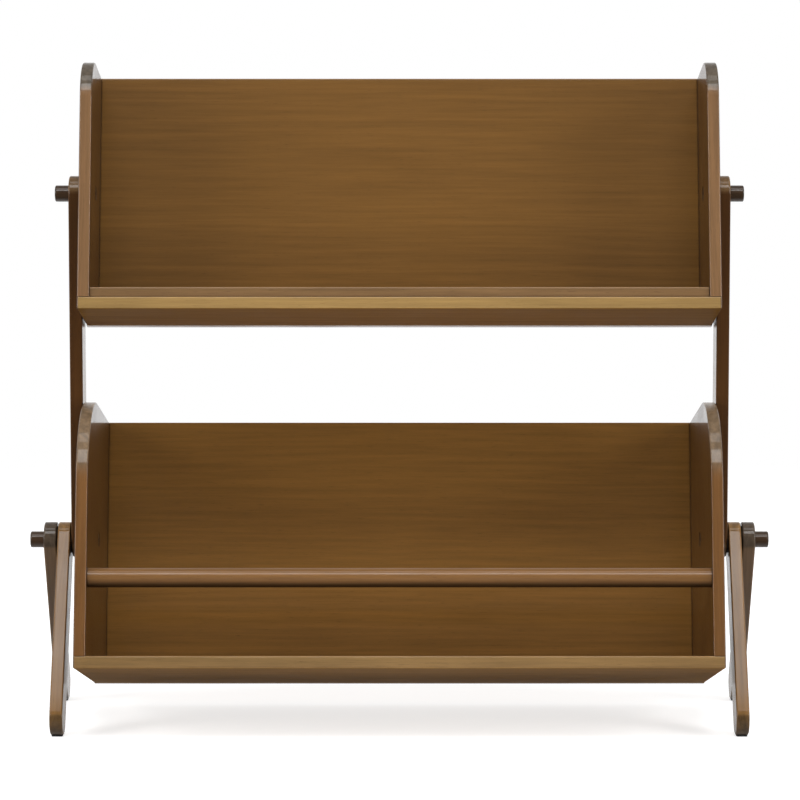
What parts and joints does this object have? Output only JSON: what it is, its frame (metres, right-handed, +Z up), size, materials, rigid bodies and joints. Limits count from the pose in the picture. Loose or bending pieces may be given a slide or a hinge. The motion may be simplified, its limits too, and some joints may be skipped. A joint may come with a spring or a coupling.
{
  "type": "photo album stand",
  "caption": "Two-tier wooden album stand: a shallow and a deep tray lean back on uprights and splayed legs that turn on round pegs.",
  "frame": {"origin": "on the floor, under the middle of the stand's bounding box", "axes": "+X to the right as seen from the front, +Y to the back, +Z up"},
  "size_m": [0.7492, 0.2994, 0.6652],
  "materials": {
    "board_walnut": "walnut stain under semi-gloss lacquer",
    "member_walnut": "walnut stain under semi-gloss lacquer",
    "round_walnut": "walnut stain under semi-gloss lacquer",
    "dowel_beech": "plain",
    "washer_fibre": "matte",
    "bolt_steel": "blackened",
    "insert_brass": "turned",
    "pad_rubber": "matte"
  },
  "bodies": {
    "lower_tray": {"lower_bottom_board": "board_walnut", "lower_back_board": "board_walnut", "lower_side_left": "board_walnut", "lower_side_right": "board_walnut", "lower_front_rail": "round_walnut", "lower_tray_dowels": "dowel_beech", "lower_tray_washer_left": "washer_fibre", "lower_tray_washer_right": "washer_fibre"},
    "upper_tray": {"upper_bottom_board": "board_walnut", "upper_back_board": "board_walnut", "upper_side_left": "board_walnut", "upper_side_right": "board_walnut", "upper_front_lip": "board_walnut", "upper_tray_dowels": "dowel_beech", "upper_tray_washer_left": "washer_fibre", "upper_tray_washer_right": "washer_fibre"},
    "upright_left": {"upright_left": "member_walnut", "upright_washer_left": "washer_fibre", "upper_peg_left": "round_walnut", "upper_peg_insert_left": "insert_brass", "upper_clamp_bolt_left": "bolt_steel"},
    "front_leg_left": {"front_leg_left": "member_walnut", "front_leg_washer_left": "washer_fibre", "front_foot_pad_left": "pad_rubber"},
    "rear_leg_left": {"rear_leg_left": "member_walnut", "rear_foot_pad_left": "pad_rubber", "lower_peg_left": "round_walnut", "lower_peg_insert_left": "insert_brass", "lower_clamp_bolt_left": "bolt_steel"},
    "upright_right": {"upright_right": "member_walnut", "upright_washer_right": "washer_fibre", "upper_peg_right": "round_walnut", "upper_peg_insert_right": "insert_brass", "upper_clamp_bolt_right": "bolt_steel"},
    "front_leg_right": {"front_leg_right": "member_walnut", "front_leg_washer_right": "washer_fibre", "front_foot_pad_right": "pad_rubber"},
    "rear_leg_right": {"rear_leg_right": "member_walnut", "rear_foot_pad_right": "pad_rubber", "lower_peg_right": "round_walnut", "lower_peg_insert_right": "insert_brass", "lower_clamp_bolt_right": "bolt_steel"}
  },
  "joints": [
    {"name": "front_leg_left_fold", "type": "hinge", "parent": "lower_tray", "child": "front_leg_left", "pos_m": [-0.3394, 0.00788, 0.183], "axis": [1, 0, 0], "range_deg": [-150, 60]},
    {"name": "rear_leg_left_fold", "type": "hinge", "parent": "lower_tray", "child": "rear_leg_left", "pos_m": [-0.3536, 0.00788, 0.183], "axis": [1, 0, 0], "range_deg": [-60, 150]},
    {"name": "upright_left_fold", "type": "hinge", "parent": "lower_tray", "child": "upright_left", "pos_m": [-0.3252, 0.00788, 0.183], "axis": [1, 0, 0], "range_deg": [-90, 90]},
    {"name": "front_leg_right_fold", "type": "hinge", "parent": "lower_tray", "child": "front_leg_right", "pos_m": [0.3394, 0.00788, 0.183], "axis": [1, 0, 0], "range_deg": [-150, 60]},
    {"name": "rear_leg_right_fold", "type": "hinge", "parent": "lower_tray", "child": "rear_leg_right", "pos_m": [0.3536, 0.00788, 0.183], "axis": [1, 0, 0], "range_deg": [-60, 150]},
    {"name": "upright_right_fold", "type": "hinge", "parent": "lower_tray", "child": "upright_right", "pos_m": [0.3252, 0.00788, 0.183], "axis": [1, 0, 0], "range_deg": [-90, 90]},
    {"name": "upper_tray_tilt", "type": "hinge", "parent": "upright_left", "child": "upper_tray", "pos_m": [0, 0.00788, 0.534], "axis": [1, 0, 0], "range_deg": [-76.5, 13.5]}
  ],
  "couplings": [
    {"joint": "upright_right_fold", "follows": "upright_left_fold", "ratio": 1}
  ]
}
